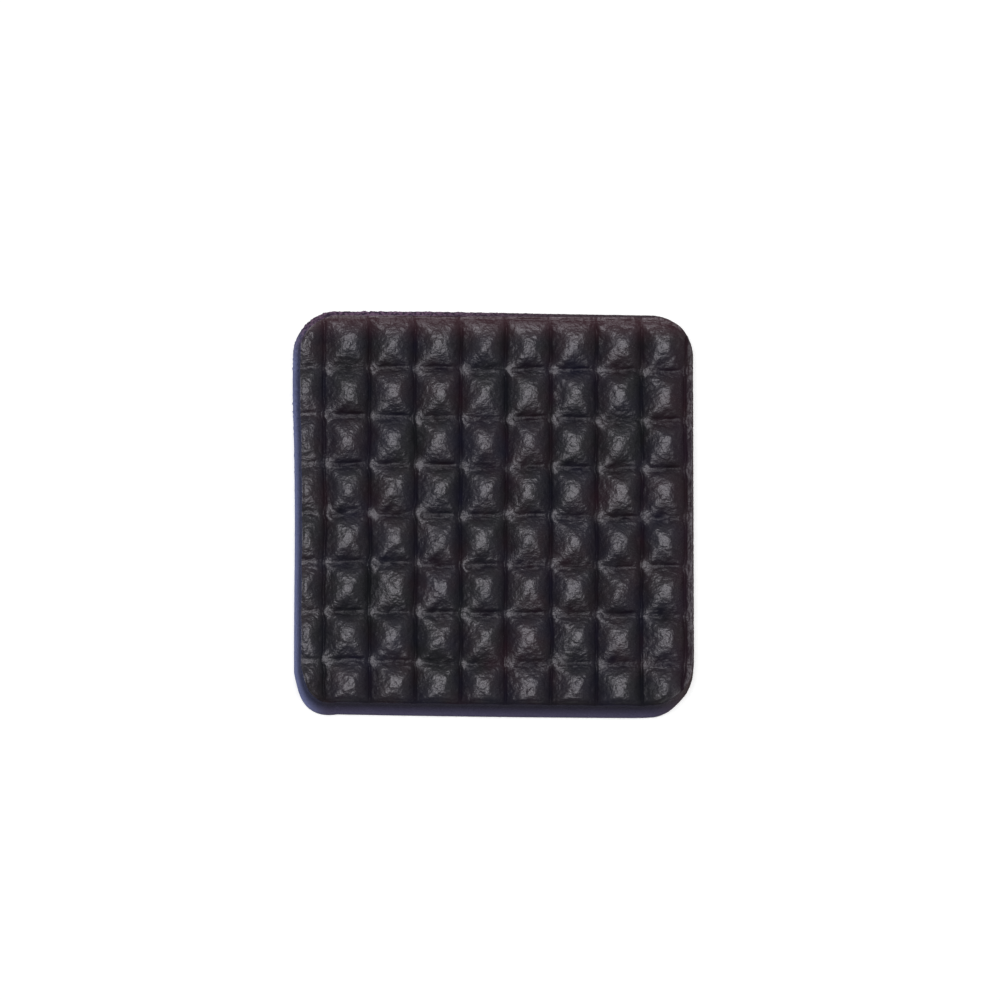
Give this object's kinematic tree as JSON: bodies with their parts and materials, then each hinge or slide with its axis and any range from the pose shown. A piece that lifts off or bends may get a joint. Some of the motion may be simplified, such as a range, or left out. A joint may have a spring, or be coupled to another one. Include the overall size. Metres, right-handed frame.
{
  "type": "square bumper pad",
  "caption": "Square black rubber pad with round corners, a face of embossed pyramid studs for grip and a flat underside that sticks or rests on a surface.",
  "frame": {"origin": "centre of the flat underside", "axes": "+X across the pad, away from the edge with the part column of studs; +Y from the front edge to the back edge, along the deeper grooves; +Z out of the studded face"},
  "size_m": [0.0252, 0.0256, 0.0025],
  "materials": {
    "black_rubber": "near-black moulded rubber with a soft satin skin on the studs and a rough die-cut edge"
  },
  "bodies": {
    "root": {"bumper_pad": "black_rubber"}
  },
  "joints": []
}
